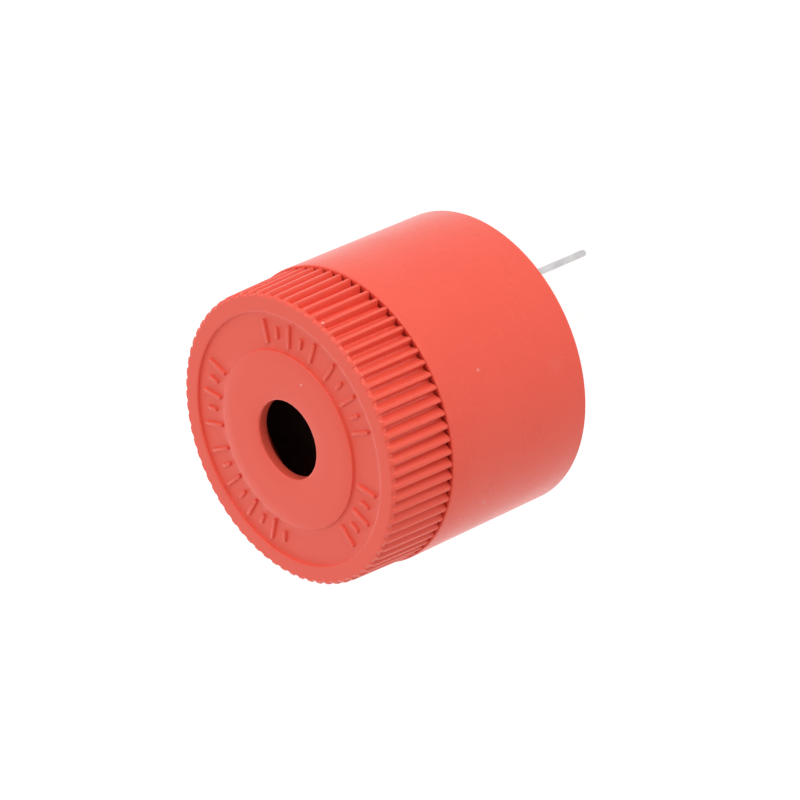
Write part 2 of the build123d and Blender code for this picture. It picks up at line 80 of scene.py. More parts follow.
def length_property(name, description, value):
    """A length in metres that a user may change."""
    return FloatProperty(
        name=name, description=description, default=value, min=0.0, precision=5,
        subtype="DISTANCE", unit="LENGTH",
    )


def colour_property(name, description, value):
    """A colour that a user may change."""
    return FloatVectorProperty(
        name=name, description=description, default=value, min=0.0, max=1.0, size=3,
        subtype="COLOR",
    )


class SounderCapSizes(bpy.types.PropertyGroup):
    """Sizes of the ribbed front cap."""

    rib_count: IntProperty(
        name="Ribs", description="Number of ribs round the cap", default=72, min=3,
    )
    tip_radius_rear: length_property(
        "Tip radius, rear", "Radius of the rib tips at the joint with the housing", 14.02 * MM
    )
    tip_radius_front: length_property(
        "Tip radius, front", "Radius of the rib tips near the front face", 13.82 * MM
    )
    root_radius: length_property("Root radius", "Radius of the grooves' floor", 13.30 * MM)
    end_drop: length_property("End drop", "How far the rib ends bend in at the face", 0.40 * MM)
    end_run: length_property("End run", "Height over which the rib ends bend in", 0.42 * MM)
    ring_inner: length_property("Ring inner", "Inner radius of the recessed ring", 8.5 * MM)
    ring_outer: length_property("Ring outer", "Outer radius of the recessed ring", 12.0 * MM)
    ring_depth: length_property("Ring depth", "Depth of the recessed ring", 0.32 * MM)
    port_radius: length_property("Port radius", "Radius of the sound port", 3.75 * MM)
    wall: length_property("Front wall", "Thickness of the front wall at the port", 1.04 * MM)


class SounderHousingSizes(bpy.types.PropertyGroup):
    """Sizes of the plain rear housing."""

    bore_radius: length_property("Bore radius", "Inner radius of the housing", 12.8 * MM)
    back_wall: length_property("Back wall", "Thickness of the back wall", 1.5 * MM)
    shelf_radius: length_property("Shelf radius", "Inner radius under the board shelf", 11.9 * MM)
    shelf_height: length_property("Shelf height", "Height of the board shelf", 4.6 * MM)
    rim_rounding: length_property("Rim rounding", "Radius of the outer rims", 0.15 * MM)


class SounderColours(bpy.types.PropertyGroup):
    """Colours of the visible finishes."""

    plastic: colour_property("Plastic", "Red moulded plastic", (0.795, 0.098, 0.061))
    plastic_deep: colour_property(
        "Plastic, deep", "The plastic's darker flow marks", (0.775, 0.092, 0.057)
    )
    dust: colour_property("Dust", "Pale dust and chipped plastic", (0.900, 0.520, 0.460))
    tin: colour_property("Tin", "Tinned wire", (0.650, 0.650, 0.655))
    # Painted shade: the piezo plate gets a near-black coat so that the view through the port is
    # dark.
    plate_shade: colour_property("Plate shade", "Painted plate shade of the piezo plate", (0.020, 0.010, 0.008))


class SounderView(bpy.types.PropertyGroup):
    """Camera and light of the picture."""

    azimuth: FloatProperty(
        name="Azimuth", description="Direction of the camera round the object",
        default=math.radians(59.860), subtype="ANGLE", unit="ROTATION",
    )
    elevation: FloatProperty(
        name="Elevation", description="Height of the camera above the horizon",
        default=math.radians(37.998), subtype="ANGLE", unit="ROTATION",
    )
    roll: FloatProperty(
        name="Roll", description="Turn of the camera about its own axis",
        default=math.radians(-113.832), subtype="ANGLE", unit="ROTATION",
    )
    distance: length_property("Distance", "From the camera to the aim point", 415.952 * MM)
    aim: FloatVectorProperty(
        name="Aim point", description="Point that the camera looks at", size=3,
        default=(0.3152 * MM, -1.1046 * MM, 10.8011 * MM), subtype="TRANSLATION", unit="LENGTH",
        precision=5,
    )
    focal_length: FloatProperty(
        name="Focal length", description="Lens of the camera in millimetres",
        default=205.968, min=1.0,
    )


# Meshes from whole arrays


def ring_rows(radius, height, angles):
    """Points of rings about the Z axis.

    With r, a and h the radius, angle and height of row i and column j, the point is
    (r cos a, r sin a, h).
    """
    radius, height, angles = np.broadcast_arrays(radius, height, angles)
    return np.stack([radius * np.cos(angles), radius * np.sin(angles), height], axis=-1)


def grid_faces(rows, columns, start=0, close_rows=False):
    """Quads of a grid whose columns run all the way round, as arrays of four point numbers.

    A quad joins rows i and i + 1 and columns j and j + 1; the last column joins the first.
    """
    row = np.arange(rows if close_rows else rows - 1)[:, None]
    column = np.arange(columns)[None, :]
    here = row * columns + column
    aside = row * columns + (column + 1) % columns
    above = ((row + 1) % rows) * columns + column
    beyond = ((row + 1) % rows) * columns + (column + 1) % columns
    return np.stack([here, aside, beyond, above], axis=-1).reshape(-1, 4) + start


def arc(centre, radius, first, last, steps=4):
    """Points (r, z) of an arc: centre + radius x (cos a, sin a), from first to last degrees."""
    angle = np.radians(np.linspace(first, last, steps + 1))
    return np.array(centre) + radius * np.stack([np.cos(angle), np.sin(angle)], axis=-1)


def outward(points, faces):
    """The faces, turned over if the closed mesh that they make has a negative volume."""
    volume = 0.0
    for group in faces:
        first = points[group[:, 0]]
        for k in range(1, group.shape[1] - 1):
            volume += np.einsum(
                "ij,ij->", first, np.cross(points[group[:, k]], points[group[:, k + 1]])
            )
    return faces if volume > 0 else [group[:, ::-1] for group in faces]


def mesh_piece(name, points, faces, crease=30.0):
    """An object from one array of points and a list of face arrays, smooth but for its creases."""
    mesh = bpy.data.meshes.new(name)
    polygons = [face for group in outward(points, faces) for face in group.tolist()]
    mesh.from_pydata(points.tolist(), [], polygons)
    welded = bmesh.new()
    welded.from_mesh(mesh)
    bmesh.ops.remove_doubles(welded, verts=welded.verts, dist=1e-7)
    welded.to_mesh(mesh)
    welded.free()
    mesh.polygons.foreach_set("use_smooth", np.ones(len(mesh.polygons), dtype=bool))
    mesh.set_sharp_from_angle(angle=math.radians(crease))
    mesh.validate()
    made = bpy.data.objects.new(name, mesh)
    bpy.context.scene.collection.objects.link(made)
    return made


def lathe(profile, columns, start=0, angles=None):
    """A profile of (r, z) turned about the Z axis; a first or last point with r = 0 is a pole.

    Returns points and face arrays. Each ring is the profile's point at evenly spaced angles.
    """
    if angles is None:
        angles = np.linspace(0, 2 * math.pi, columns, endpoint=False)
    profile = np.asarray(profile)
    opens = profile[0, 0] < 1e-9
    shuts = profile[-1, 0] < 1e-9
    rings = profile[int(opens): len(profile) - int(shuts)]
    points = ring_rows(rings[:, :1], rings[:, 1:], angles).reshape(-1, 3)
    faces = [grid_faces(len(rings), columns, start)]
    column = np.arange(columns)
    beside = (column + 1) % columns
    if opens:
        pole = start + len(points)
        points = np.vstack([points, (0, 0, profile[0, 1])])
        faces.append(np.stack([np.full(columns, pole), beside + start, column + start], axis=-1))
    if shuts:
        pole = start + len(points)
        last = start + (len(rings) - 1) * columns
        points = np.vstack([points, (0, 0, profile[-1, 1])])
        faces.append(np.stack([np.full(columns, pole), column + last, beside + last], axis=-1))
    return points, faces


def soft_min(a, b, width):
    """The smaller of two values, eased where they are within width of each other."""
    near = np.clip(width - np.abs(a - b), 0, None)
    return np.minimum(a, b) - near * near / (4 * width)


def soft_max(a, b, width):
    """The larger of two values, eased where they are within width of each other."""
    return -soft_min(-a, -b, width)


# Front cap

RIB_TURN = math.radians(0.5)
RIB_HALF_LAND = math.radians(0.72)
GROOVE_WALL_END = math.radians(1.02)
GROOVE_FLOOR_END = math.radians(2.25)
GROOVE_END = math.radians(4.28)
TIP_EASE = 0.10 * MM
FLOOR_EASE = 0.05 * MM
END_RING_FOOT = 23.02 * MM
END_RING_RADIUS = 13.62 * MM
END_RING_DROP = 0.26 * MM
END_BEND_REACH = 0.98
RIM_RADIUS = 12.9 * MM
COARSE_RIM_RADIUS = 12.7 * MM
COARSE_STEP = 3
# Places across a pitch, from a rib's middle to the next, dense at the edges
PITCH_STEPS = (0, .09, .14, .165, .185, .21, .25, .34, .42, .47, .56, .67, .77, .84, .91)
TICK_GROUPS = ((92.2, 5), (6.2, 5), (318.2, 5), (140.2, 8), (252.2, 5))
TICK_STEP = 8.6
TICK_HALF_WIDTH = 0.21 * MM
TICK_LONG = 2.3 * MM
TICK_SHORT = 1.2 * MM
TICK_MID_RADIUS = 10.2 * MM
TICK_HEIGHT = 0.24 * MM
TICK_SINK = 0.05 * MM


def rib_angles(count):
    """Angles round the cap, gathered at the edges of each groove."""
    turns = (np.arange(count)[:, None] + np.array(PITCH_STEPS)[None, :]) / count
    return turns.ravel() * 2 * math.pi + RIB_TURN


def quarter(height, start, drop):
    """How far a rounded end has bent in at a height, from start to the face.

    It is drop x (1 - sqrt(1 - reach x rise squared)): almost a quarter ellipse, that stops short of
    level at the face.
    """
    rise = np.clip((height - start) / (BODY_LENGTH - start), 0, 1)
    return drop * (1 - np.sqrt(1 - END_BEND_REACH * rise ** 2))


def rib_radius(angles, height, sizes):
    """Radius of the ribbed surface at each height (rows) and angle (columns).

    The tip radius runs in a straight line from rear to front. Back from a rib's middle, each pitch
    holds a land, a steep wall, a floor at the root radius and a slope up to the next land. At the
    face the tips bend in, and a smooth ring that climbs from the floor at 45 degrees fills the
    grooves' ends.
    """
    height = np.asarray(height)[:, None]
    along = (height - JOINT_HEIGHT) / (BODY_LENGTH - JOINT_HEIGHT)
    tip = sizes.tip_radius_rear + (sizes.tip_radius_front - sizes.tip_radius_rear) * along
    depth = tip - sizes.root_radius
    pitch = 2 * math.pi / sizes.rib_count
    back = (RIB_TURN - angles[None, :]) % pitch
    wall = (GROOVE_WALL_END - back) / (GROOVE_WALL_END - RIB_HALF_LAND)
    slope = (back - GROOVE_FLOOR_END) / (GROOVE_END - GROOVE_FLOOR_END)
    flank = sizes.root_radius + np.maximum(wall, slope) * depth
    surface = soft_max(soft_min(flank, tip, TIP_EASE), sizes.root_radius, FLOOR_EASE)
    tip_end = sizes.tip_radius_front - quarter(height, BODY_LENGTH - sizes.end_run, sizes.end_drop)
    surface = np.where(height > BODY_LENGTH - sizes.end_run, np.minimum(surface, tip_end), surface)
    climb = sizes.root_radius + height - END_RING_FOOT
    ring_top = END_RING_FOOT + END_RING_RADIUS - sizes.root_radius
    ring = np.minimum(climb, END_RING_RADIUS - quarter(height, ring_top, END_RING_DROP))
    return soft_max(surface, ring, FLOOR_EASE)


def cap_inner_profile(sizes, housing):
    """Profile (r, z) of the face, the port and the inside, from the rim to the joint."""
    face = BODY_LENGTH
    floor = BODY_LENGTH - sizes.ring_depth
    roof = BODY_LENGTH - sizes.wall
    edge = 0.10 * MM
    foot = 0.08 * MM
    lip = 0.20 * MM
    tube_inner = 10.0 * MM
    tube_outer = 10.9 * MM
    bore = 11.7 * MM
    lead = 0.4 * MM
    spigot = housing.bore_radius
    outer, inner, port = sizes.ring_outer, sizes.ring_inner, sizes.port_radius
    parts = [
        [(12.35 * MM, face)],
        arc((outer + edge, face - edge), edge, 90, 180),
        arc((outer - foot, floor + foot), foot, 0, -90, 3),
        [(11.2 * MM, floor), (9.6 * MM, floor)],
        arc((inner + foot, floor + foot), foot, 270, 180, 3),
        arc((inner - edge, face - edge), edge, 0, 90),
        [(7.2 * MM, face), (5.6 * MM, face)],
        arc((port + lip, face - lip), lip, 90, 180, 6),
        arc((port + edge, roof + edge), edge, 180, 270, 3),
        [(6.5 * MM, roof)],
        arc((tube_inner - edge, roof - edge), edge, 90, 0, 3),
        [(tube_inner, 20.3 * MM), (tube_inner, CHAMBER_END), (tube_outer, CHAMBER_END)],
        [(tube_outer, roof), (bore, roof), (bore, 18.0 * MM), (bore, SPIGOT_BASE)],
        [(spigot - lead, SPIGOT_BASE), (spigot, SPIGOT_BASE + 2 * lead), (spigot, 15.2 * MM)],
        [(spigot, JOINT_HEIGHT)],
    ]
    return np.vstack([np.asarray(part) for part in parts])


def zipper(fine_start, coarse_start, coarse_count, step, columns):
    """Faces between a fine ring and a ring with one point for every step points of it."""
    index = np.arange(coarse_count)
    fine = (index[:, None] * step + np.arange(step + 1)[None, :]) % columns + fine_start
    here = index + coarse_start
    beyond = (index + 1) % coarse_count + coarse_start
    return np.concatenate([here[:, None], fine, beyond[:, None]], axis=1)


def tick_mesh(angle, length, floor, start):
    """One raised tick: a slot outline that narrows as it rises, with an eased top.

    The outline at offset d is a point on the slot's spine plus (half width - d) times
    (cos a, sin a), where a runs round and the spine's end is chosen by the sign of cos a.
    """
    turn = np.radians(np.arange(24) * 15 + 7.5)
    spine = np.sign(np.cos(turn)) * (length / 2 - TICK_HALF_WIDTH)
    inset = np.array([0.0, 0.03, 0.045, 0.07, 0.11])[:, None] * MM
    rise = np.array([-TICK_SINK, 0.16 * MM, 0.205 * MM, 0.23 * MM, TICK_HEIGHT])[:, None]
    x = TICK_MID_RADIUS + spine + (TICK_HALF_WIDTH - inset) * np.cos(turn)
    y = (TICK_HALF_WIDTH - inset) * np.sin(turn)
    z = np.broadcast_to(floor + rise, x.shape)
    cos_a, sin_a = math.cos(angle), math.sin(angle)
    points = np.stack([x * cos_a - y * sin_a, x * sin_a + y * cos_a, z], axis=-1).reshape(-1, 3)
    rows, columns = x.shape
    top = np.arange(columns)[None, :] + (rows - 1) * columns + start
    base = np.arange(columns)[None, ::-1] + start
    return points, [grid_faces(rows, columns, start), top, base]


def cap_mesh(sizes, housing):
    """Points and faces of the whole cap: ribbed skirt, rim, face, port, inside and ticks."""
    angles = rib_angles(sizes.rib_count)
    columns = len(angles)
    low, high = JOINT_HEIGHT, BODY_LENGTH - sizes.end_run
    skirt = np.concatenate([
        np.linspace(low, END_RING_FOOT - FLOOR_EASE, 6),
        np.linspace(END_RING_FOOT, high, 6),
        high + sizes.end_run * np.sin(np.radians([10, 20, 30, 40, 52, 64, 76, 85, 90])),
    ])
    radius = rib_radius(angles, skirt, sizes)
    rim_share = np.array([0.08, 0.22, 0.5, 1.0])[:, None]
    rim = radius[-1:] * (1 - rim_share) + RIM_RADIUS * rim_share
    under_share = np.array([1.0, 0.5])[:, None]
    under = radius[:1] * (1 - under_share) + RIM_RADIUS * under_share
    radius = np.vstack([under, radius, rim])
    height = np.concatenate([[low, low], skirt, np.full(4, BODY_LENGTH)])[:, None]
    rows = len(radius)
    points = ring_rows(radius, height, angles).reshape(-1, 3)
    faces = [grid_faces(rows, columns)]
    coarse = columns // COARSE_STEP
    profile = np.vstack([
        [(COARSE_RIM_RADIUS, BODY_LENGTH)],
        cap_inner_profile(sizes, housing),
        [(12.85 * MM, JOINT_HEIGHT)],
    ])
    start = len(points)
    inner, inner_faces = lathe(profile, coarse, start, angles[::COARSE_STEP])
    faces += inner_faces
    faces.append(zipper((rows - 1) * columns, start, coarse, COARSE_STEP, columns))
    last = start + (len(profile) - 1) * coarse
    faces.append(zipper(0, last, coarse, COARSE_STEP, columns)[:, ::-1])
    points = np.vstack([points, inner])
    floor = BODY_LENGTH - sizes.ring_depth
    for first_angle, count in TICK_GROUPS:
        for index in range(count):
            length = TICK_SHORT if index % 2 else TICK_LONG
            angle = math.radians(first_angle + index * TICK_STEP)
            tick, tick_faces = tick_mesh(angle, length, floor, len(points))
            points = np.vstack([points, tick])
            faces += tick_faces
    return points, faces


# Rear housing

PLUS_RADIUS = 6.4 * MM
PLUS_ARM = 1.5 * MM
PLUS_HALF_WIDTH = 0.25 * MM
PLUS_DEPTH = 0.25 * MM
SEAL_RADIUS = 0.9 * MM
# A sloping relief in the end face, from the seat's radius out to the rim
SEAT_RADIUS = 13.05 * MM
SHADOW_GAP_DEPTH = 0.35 * MM


def housing_profile(sizes):
    """Profile (r, z) of the cup, from the middle of its back round to the inside of its back."""
    rim = sizes.rim_rounding
    top = JOINT_HEIGHT
    return np.vstack([
        [(0, 0), (3 * MM, 0), (8 * MM, 0), (12 * MM, 0)],
        arc((BODY_RADIUS - rim, rim), rim, -90, 0, 5),
        [(BODY_RADIUS, 4 * MM), (BODY_RADIUS, 8.5 * MM), (BODY_RADIUS, 13 * MM)],
        arc((BODY_RADIUS - rim, top - rim), rim, 0, 90, 5),
        [(SEAT_RADIUS, top - SHADOW_GAP_DEPTH), (SEAT_RADIUS, top)],
        [(sizes.bore_radius, top), (sizes.bore_radius, sizes.shelf_height)],
        [(sizes.shelf_radius, sizes.shelf_height), (sizes.shelf_radius, sizes.back_wall)],
        [(6 * MM, sizes.back_wall), (0, sizes.back_wall)],
    ])


def cutter(name, points, faces):
    """A closed shape that is taken out of the housing and then removed."""
    return mesh_piece(name, points, faces)


def prism(outline, low, high):
    """Points and faces of a straight prism over a flat outline, from low to high."""
    count = len(outline)
    points = np.vstack([
        np.column_stack([outline, np.full(count, low)]),
        np.column_stack([outline, np.full(count, high)]),
    ])
    index = np.arange(count)[None, :]
    return points, [grid_faces(2, count), index + count, index[:, ::-1]]


def take_out(body, tools):
    """Cuts the closed tools out of the body and removes them."""
    for tool in tools:
        cut = body.modifiers.new("Cut", "BOOLEAN")
        cut.operation = "DIFFERENCE"
        cut.solver = "EXACT"
        cut.object = tool
    evaluated = body.evaluated_get(bpy.context.evaluated_depsgraph_get())
    finished = bpy.data.meshes.new_from_object(evaluated)
    body.modifiers.clear()
    body.data = finished
    finished.polygons.foreach_set("use_smooth", np.ones(len(finished.polygons), dtype=bool))
    finished.set_sharp_from_angle(angle=math.radians(30))
    for tool in tools:
        bpy.data.objects.remove(tool)


# Node trees


def add_node(tree, kind, inputs=None, **settings):
    """Adds one node. inputs maps a socket's name or number to a value, or to a socket to join."""
    made = tree.nodes.new(kind)
    for name, value in settings.items():
        setattr(made, name, value)
    for key, value in (inputs or {}).items():
        if isinstance(value, bpy.types.NodeSocket):
            tree.links.new(value, made.inputs[key])
        else:
            made.inputs[key].default_value = value
    return made


def maths(tree, operation, *values, clamp=False):
    """One Math node's result."""
    made = add_node(
        tree, "ShaderNodeMath", dict(enumerate(values)), operation=operation, use_clamp=clamp
    )
    return made.outputs[0]


def mix_colour(tree, share, first, second, blend="MIX"):
    """One Mix node's colour."""
    made = add_node(tree, "ShaderNodeMix", data_type="RGBA", blend_type=blend)
    for key, value in ((0, share), (6, first), (7, second)):
        if isinstance(value, bpy.types.NodeSocket):
            tree.links.new(value, made.inputs[key])
        else:
            made.inputs[key].default_value = value
    return made.outputs[2]


def map_range(tree, value, low, high, out_low=0.0, out_high=1.0, kind="SMOOTHSTEP"):
    """One Map Range node's result, held between its ends."""
    made = add_node(
        tree, "ShaderNodeMapRange", {0: value, 1: low, 2: high, 3: out_low, 4: out_high},
        interpolation_type=kind,
    )
    return made.outputs[0]


def rgba(colour):
    """A colour with full alpha."""
    return (*colour[:3], 1.0)


def effect_group(name, inputs, outputs):
    """An empty shader node group with named inputs and outputs; returns tree, input and output."""
    tree = bpy.data.node_groups.new(name, "ShaderNodeTree")
    for label, kind, value in inputs:
        socket = tree.interface.new_socket(label, in_out="INPUT", socket_type=kind)
        if value is not None:
            socket.default_value = value
    for label, kind in outputs:
        tree.interface.new_socket(label, in_out="OUTPUT", socket_type=kind)
    return tree, tree.nodes.new("NodeGroupInput"), tree.nodes.new("NodeGroupOutput")


FLOAT = "NodeSocketFloat"
VECTOR = "NodeSocketVector"


def noise(tree, place, scale, detail=2.0, roughness=0.5):
    """One Noise Texture's value."""
    made = add_node(
        tree, "ShaderNodeTexNoise",
        {"Vector": place, "Scale": scale, "Detail": detail, "Roughness": roughness},
    )
    return made.outputs["Fac"]


def moulded_grain_group():
    """Fine texture of a moulded surface: a height and a slow change of tone."""
    tree, given, result = effect_group(
        "Moulded grain",
        (("Place", VECTOR, None), ("Grain scale", FLOAT, 5200.0), ("Flow scale", FLOAT, 190.0)),
        (("Height", FLOAT), ("Tone", FLOAT)),
    )
    fine = noise(tree, given.outputs["Place"], given.outputs["Grain scale"], 3.0, 0.6)
    slow = noise(tree, given.outputs["Place"], given.outputs["Flow scale"], 2.0, 0.55)
    tree.links.new(fine, result.inputs["Height"])
    tree.links.new(map_range(tree, slow, 0.1, 0.9), result.inputs["Tone"])
    return tree


def speck_group():
    """Small pale specks, one in some cells of a Voronoi pattern; a mask."""
    tree, given, result = effect_group(
        "Pale specks",
        (("Place", VECTOR, None), ("Scale", FLOAT, 420.0), ("Size", FLOAT, 0.10),
         ("Share", FLOAT, 0.06)),
        (("Mask", FLOAT),),
    )
    cells = add_node(
        tree, "ShaderNodeTexVoronoi",
        {"Vector": given.outputs["Place"], "Scale": given.outputs["Scale"]},
    )
    chosen = maths(
        tree, "LESS_THAN",
        add_node(tree, "ShaderNodeSeparateColor", {0: cells.outputs["Color"]}).outputs[0],
        given.outputs["Share"],
    )
    inside = map_range(
        tree, maths(tree, "DIVIDE", cells.outputs["Distance"], given.outputs["Size"]), 1.0, 0.55
    )
    tree.links.new(maths(tree, "MULTIPLY", chosen, inside), result.inputs["Mask"])
    return tree


def scuff_group():
    """Faint handling scuffs: stretched noise broken up by a wider noise; a mask."""
    tree, given, result = effect_group(
        "Faint scuffs",
        (("Place", VECTOR, None), ("Scale", FLOAT, 300.0), ("Amount", FLOAT, 0.5)),
        (("Mask", FLOAT),),
    )
    streak = add_node(
        tree, "ShaderNodeMapping",
        {"Vector": given.outputs["Place"], "Rotation": (0.4, 0.9, 0.2), "Scale": (1.0, 0.12, 1.0)},
    ).outputs[0]
    lines = map_range(tree, noise(tree, streak, given.outputs["Scale"], 4.0, 0.7), 0.56, 0.74)
    patches = map_range(tree, noise(tree, given.outputs["Place"], 110.0, 1.0), 0.52, 0.7)
    mask = maths(tree, "MULTIPLY", maths(tree, "MULTIPLY", lines, patches), given.outputs["Amount"])
    tree.links.new(mask, result.inputs["Mask"])
    return tree


def spot_group():
    """One mark at a place: 1 inside the size, fading to 0 over the softness; a mask."""
    tree, given, result = effect_group(
        "Mark at a place",
        (("Place", VECTOR, None), ("Centre", VECTOR, None), ("Size", FLOAT, 0.0002),
         ("Softness", FLOAT, 0.0001)),
        (("Mask", FLOAT),),
    )
    apart = add_node(
        tree, "ShaderNodeVectorMath",
        {0: given.outputs["Place"], 1: given.outputs["Centre"]}, operation="DISTANCE",
    ).outputs["Value"]
    beyond = maths(tree, "SUBTRACT", apart, given.outputs["Size"])
    share = maths(tree, "DIVIDE", beyond, given.outputs["Softness"])
    tree.links.new(map_range(tree, share, 1.0, 0.0), result.inputs["Mask"])
    return tree


def cloudy_metal_group():
    """Slow clouds and fine pits of tinned or printed metal: a height and a tone."""
    tree, given, result = effect_group(
        "Cloudy metal",
        (("Place", VECTOR, None), ("Cloud scale", FLOAT, 900.0), ("Pit scale", FLOAT, 7000.0)),
        (("Height", FLOAT), ("Tone", FLOAT)),
    )
    cloud = noise(tree, given.outputs["Place"], given.outputs["Cloud scale"], 2.0)
    pits = noise(tree, given.outputs["Place"], given.outputs["Pit scale"], 2.0)
    tree.links.new(maths(tree, "ADD", cloud, pits), result.inputs["Height"])
    tree.links.new(map_range(tree, cloud, 0.3, 0.7), result.inputs["Tone"])
    return tree


GROUP_MAKERS = {
    "grain": moulded_grain_group,
    "specks": speck_group,
    "scuffs": scuff_group,
    "spot": spot_group,
    "cloud": cloudy_metal_group,
}
GROUPS = {}


def effect(tree, key, **inputs):
    """Places one effect group with its own values; the first use builds the group."""
    if key not in GROUPS:
        GROUPS[key] = GROUP_MAKERS[key]()
    made = tree.nodes.new("ShaderNodeGroup")
    made.node_tree = GROUPS[key]
    for label, value in inputs.items():
        socket = made.inputs[label.replace("_", " ")]
        if isinstance(value, bpy.types.NodeSocket):
            tree.links.new(value, socket)
        else:
            socket.default_value = value
    return made.outputs


def new_material(name, **constants):
    """A material with a Principled BSDF; constants are values of its own sockets."""
    made = bpy.data.materials.new(name)
    made.use_nodes = True
    shader = made.node_tree.nodes["Principled BSDF"]
    for label, value in constants.items():
        shader.inputs[label.replace("_", " ")].default_value = value
    place = made.node_tree.nodes.new("ShaderNodeTexCoord").outputs["Object"]
    return made, made.node_tree, shader, place


def set_bump(tree, shader, height, strength, distance):
    """Feeds a height to the shader's normal."""
    made = add_node(
        tree, "ShaderNodeBump",
        {"Height": height, "Strength": strength, "Distance": distance},
    )
    tree.links.new(made.outputs[0], shader.inputs["Normal"])


def turned_place(angle, radius, height):
    """A point on the body, from degrees round the axis, radius and height in millimetres."""
    turn = math.radians(angle)
    return (radius * MM * math.cos(turn), radius * MM * math.sin(turn), height * MM)


CAP_ROUGHNESS, CAP_GLOSS = 0.34, 0.3
HOUSING_ROUGHNESS, HOUSING_GLOSS = 0.26, 0.25
# Marks that the photographed surface shows: place, size and softness in millimetres, strength
HOUSING_MARKS = (
    (turned_place(-34.8, 14.2, 11.84), 0.10, 0.10, 0.35),
    (turned_place(-44.6, 14.2, 3.15), 0.10, 1.30, 0.03),
)
CAP_MARKS = (
    (turned_place(5.8, 13.75, 23.26), 0.08, 0.10, 0.80),
    (turned_place(-36.0, 13.9, 22.16), 0.10, 0.10, 0.90),
    (turned_place(-50.7, 13.9, 19.58), 0.07, 0.09, 0.80),
    (turned_place(6.9, 6.56, 23.72), 0.06, 0.10, 0.55),
)


def red_plastic(name, colours, marks, roughness, gloss):
    """Red moulded plastic: flow marks, fine grain, faint scuffs, dust specks and placed marks."""
    made, tree, shader, place = new_material(name, IOR=1.5, Specular_IOR_Level=gloss)
    grain = effect(tree, "grain", Place=place)
    specks = effect(tree, "specks", Place=place)["Mask"]
    scuffs = effect(tree, "scuffs", Place=place)["Mask"]
    colour = mix_colour(tree, grain["Tone"], rgba(colours.plastic_deep), rgba(colours.plastic))
    colour = mix_colour(tree, maths(tree, "MULTIPLY", scuffs, 0.06), colour, rgba(colours.dust))
    pale = maths(tree, "MULTIPLY", specks, 0.35)
    for centre, size, softness, strength in marks:
        mask = effect(
            tree, "spot", Place=place, Centre=centre, Size=size * MM, Softness=softness * MM
        )["Mask"]
        pale = maths(tree, "MAXIMUM", pale, maths(tree, "MULTIPLY", mask, strength))
    tree.links.new(mix_colour(tree, pale, colour, rgba(colours.dust)), shader.inputs["Base Color"])
    rough = maths(
        tree, "ADD", map_range(tree, grain["Tone"], 0.0, 1.0, roughness + 0.04, roughness - 0.02),
        maths(tree, "MULTIPLY", scuffs, 0.05),
    )
    tree.links.new(rough, shader.inputs["Roughness"])
    set_bump(tree, shader, grain["Height"], 0.35, 0.00001)
    return made


def tinned_metal(name, colour, roughness=0.32):
    """Tinned or soldered metal with soft clouds."""
    made, tree, shader, place = new_material(name, Metallic=1.0)
    cloud = effect(tree, "cloud", Place=place)
    dull = tuple(channel * 0.82 for channel in colour)
    tree.links.new(
        mix_colour(tree, cloud["Tone"], rgba(dull), rgba(colour)), shader.inputs["Base Color"]
    )
    tree.links.new(
        map_range(tree, cloud["Tone"], 0.0, 1.0, roughness + 0.1, roughness - 0.05),
        shader.inputs["Roughness"],
    )
    set_bump(tree, shader, cloud["Height"], 0.3, 0.00001)
    return made


def coated(name, colour, roughness, grain_scale=2600.0, change=0.8, strength=0.3, **constants):
    """A painted, dipped or moulded coat with soft changes of tone and a fine grain."""
    made, tree, shader, place = new_material(name, **constants)
    grain = effect(tree, "grain", Place=place, Grain_scale=grain_scale, Flow_scale=700.0)
    deep = tuple(channel * change for channel in colour)
    tree.links.new(
        mix_colour(tree, grain["Tone"], rgba(deep), rgba(colour)), shader.inputs["Base Color"]
    )
    tree.links.new(
        map_range(tree, grain["Tone"], 0.0, 1.0, roughness + 0.05, roughness - 0.03),
        shader.inputs["Roughness"],
    )
    set_bump(tree, shader, grain["Height"], strength, 0.00001)
    return made


BAND_COLOURS = ((0.20, 0.06, 0.02), (0.01, 0.01, 0.01), (0.60, 0.16, 0.01), (0.55, 0.36, 0.06))
BAND_PLACES = (-2.3, -1.0, 0.1, 2.0)
BAND_HALF_WIDTH = 0.25
RESISTOR_MIDDLE = -0.5


def banded_resistor(name):
    """Tan coat with four value bands across the body."""
    made, tree, shader, place = new_material(name, Roughness=0.35, Coat_Weight=0.3)
    grain = effect(tree, "grain", Place=place, Grain_scale=2400.0, Flow_scale=600.0)
    colour = mix_colour(
        tree, grain["Tone"], (0.52, 0.38, 0.22, 1.0), (0.62, 0.47, 0.28, 1.0)
    )
    along = add_node(tree, "ShaderNodeSeparateXYZ", {0: place}).outputs["X"]
    for band, middle in zip(BAND_COLOURS, BAND_PLACES):
        off = maths(
            tree, "ABSOLUTE",
            maths(tree, "SUBTRACT", along, (RESISTOR_MIDDLE + middle) * MM),
        )
        mask = map_range(tree, off, (BAND_HALF_WIDTH + 0.04) * MM, (BAND_HALF_WIDTH - 0.04) * MM)
        colour = mix_colour(tree, mask, colour, rgba(band))
    tree.links.new(colour, shader.inputs["Base Color"])
    set_bump(tree, shader, grain["Height"], 0.3, 0.00001)
    return made


